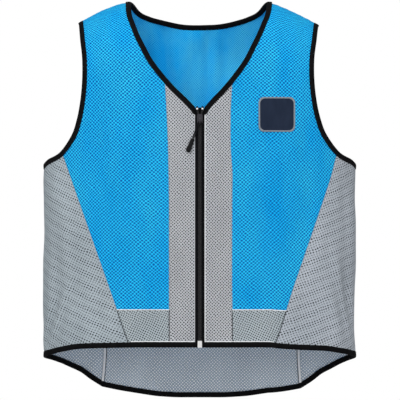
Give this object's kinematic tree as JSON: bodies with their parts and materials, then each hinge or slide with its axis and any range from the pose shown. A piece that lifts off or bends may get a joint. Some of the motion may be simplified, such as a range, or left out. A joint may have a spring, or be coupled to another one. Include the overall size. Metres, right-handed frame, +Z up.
{
  "type": "cooling vest",
  "caption": "Sleeveless zipped cooling vest of knitted mesh with bound edges and a dropped tail, shaped as worn and hollow.",
  "frame": {"origin": "between the shoulders, level with the inside of the cloth at the neck points, where the vest rests on its wearer's shoulders", "axes": "+X to the wearer's left, front faces -Y, +Z up; the vest is longest along Z and thinnest along Y"},
  "size_m": [0.5224, 0.1872, 0.668],
  "materials": {
    "blue_mesh": "matt absorbent knitted mesh with small staggered holes",
    "grey_mesh": "matt open knitted mesh with small staggered holes",
    "side_mesh": "matt open knitted mesh with small staggered holes",
    "binding": "matt woven folded tape with one row of stitches",
    "zip_tape": "matt woven tape",
    "zip_coil": "satin",
    "zip_slider": "satin lacquer",
    "zip_ends": "bright",
    "pull_cord": "braided",
    "pull_grip": "satin moulded",
    "patch": "plain, with a stitched border"
  },
  "bodies": {
    "root": {"front_panel_right": "blue_mesh", "front_panel_left": "blue_mesh", "back_panel": "blue_mesh", "zip_facing_right": "grey_mesh", "zip_facing_left": "grey_mesh", "front_hem_panel_right": "grey_mesh", "front_hem_panel_left": "grey_mesh", "side_panel_right": "side_mesh", "side_panel_left": "side_mesh", "back_hem_panel": "side_mesh", "neck_binding": "binding", "armhole_binding_right": "binding", "armhole_binding_left": "binding", "hem_binding": "binding", "zip_tape_right": "zip_tape", "zip_tape_left": "zip_tape", "zip_coil_right": "zip_coil", "zip_coil_left": "zip_coil", "zip_top_stop_right": "zip_ends", "zip_top_stop_left": "zip_ends", "zip_bottom_box": "zip_ends", "zip_slider": "zip_slider", "pull_cord": "pull_cord", "pull_grip": "pull_grip", "chest_patch": "patch"}
  },
  "joints": []
}
